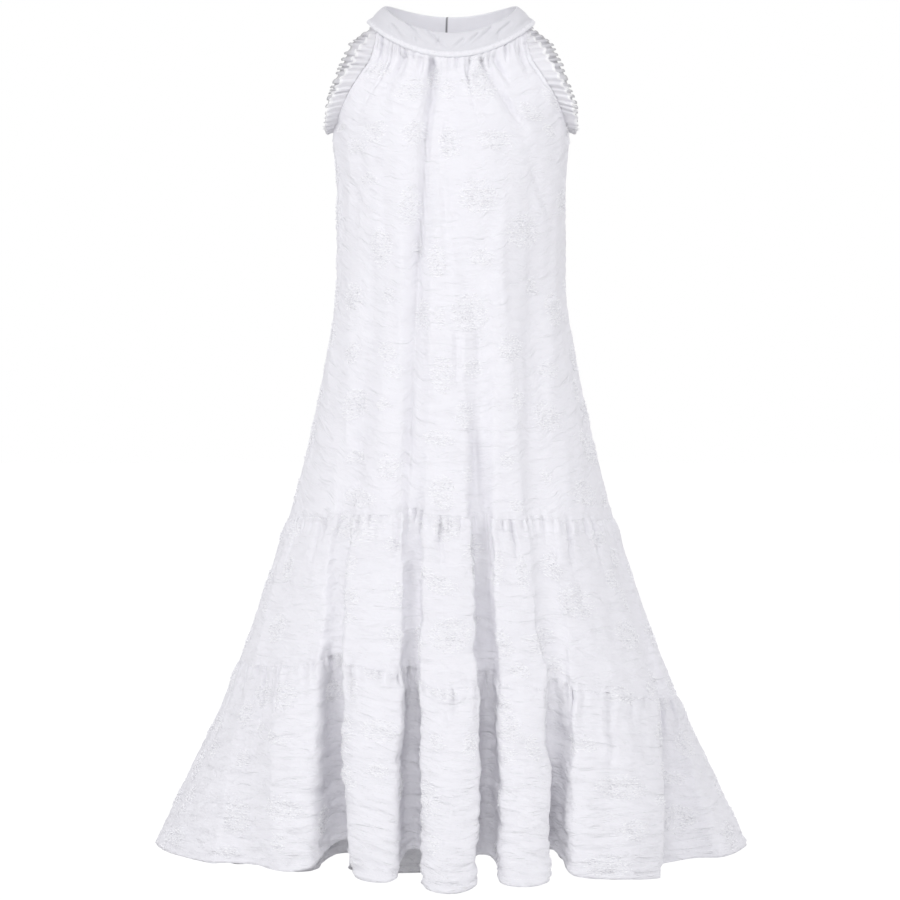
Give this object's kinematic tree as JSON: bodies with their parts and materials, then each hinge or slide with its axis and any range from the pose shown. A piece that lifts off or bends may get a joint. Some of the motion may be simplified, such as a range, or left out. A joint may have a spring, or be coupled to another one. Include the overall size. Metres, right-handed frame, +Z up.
{
  "type": "sleeveless dress",
  "caption": "Girl's long sleeveless dress in its worn shape, with a stand neckband, gathered neckline, frilled armholes and gathered tiers that fall in deep flutes.",
  "frame": {"origin": "middle of the neck opening, where the wearer carries the dress", "axes": "+Z up, -Y out of the dress's front, +X to the wearer's left"},
  "size_m": [0.5898, 0.445, 0.905],
  "materials": {
    "cut_thread_cloth": "matte white cloth with patches of short cut threads",
    "plain_cloth": "matte plain white cloth",
    "frill_cloth": "matte plain white cloth, gathered",
    "button": "soft gloss",
    "thread": "matte white thread"
  },
  "bodies": {
    "root": {"neckband": "plain_cloth", "front_panel": "cut_thread_cloth", "back_panel_left": "cut_thread_cloth", "back_panel_right": "cut_thread_cloth", "middle_tier_front": "cut_thread_cloth", "middle_tier_back": "cut_thread_cloth", "hem_tier_front": "cut_thread_cloth", "hem_tier_back": "cut_thread_cloth", "armhole_frill_left": "frill_cloth", "armhole_frill_right": "frill_cloth", "back_button": "button", "button_loop": "thread"}
  },
  "joints": []
}
